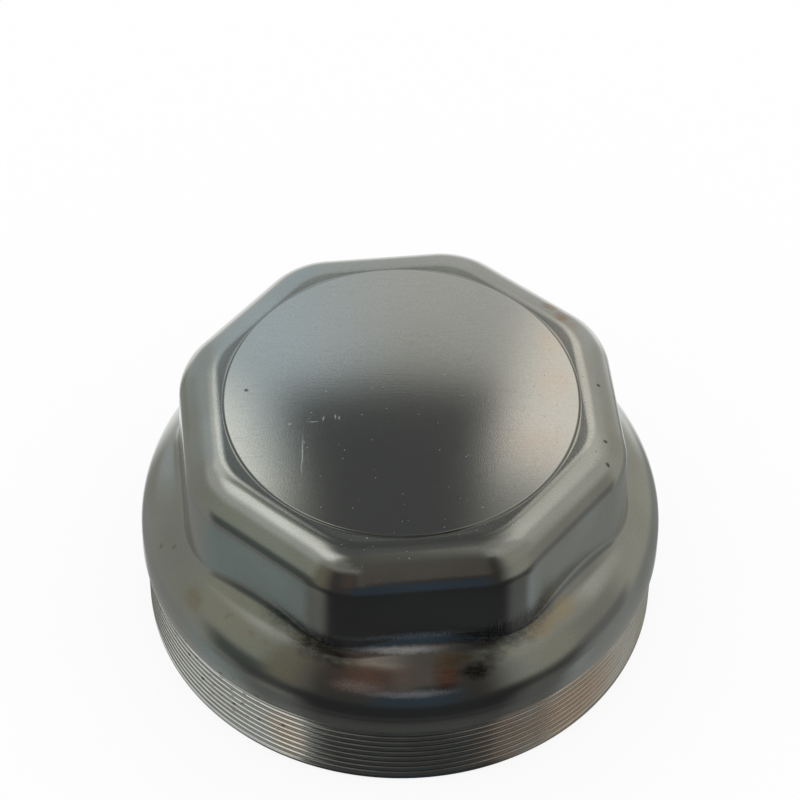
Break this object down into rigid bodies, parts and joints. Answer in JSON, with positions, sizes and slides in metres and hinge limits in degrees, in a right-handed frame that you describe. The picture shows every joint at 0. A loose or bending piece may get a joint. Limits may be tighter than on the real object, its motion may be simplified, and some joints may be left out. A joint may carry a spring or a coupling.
{
  "type": "hub grease cap",
  "caption": "Pressed sheet steel cap with a fine-threaded skirt, a stop collar and a hollow eight-sided head with a raised disc; it closes a wheel hub.",
  "frame": {"origin": "centre of the open rim, in the plane of the rim", "axes": "+Z along the thread's axis, towards the closed top; one flat of the head faces -Y, turned from it by 6.5 degrees about +Z"},
  "size_m": [0.1268, 0.1268, 0.0682],
  "materials": {
    "steel": "bare pressed steel, half gloss, with faint heat tints"
  },
  "bodies": {
    "root": {"grease_cap": "steel"}
  },
  "joints": []
}
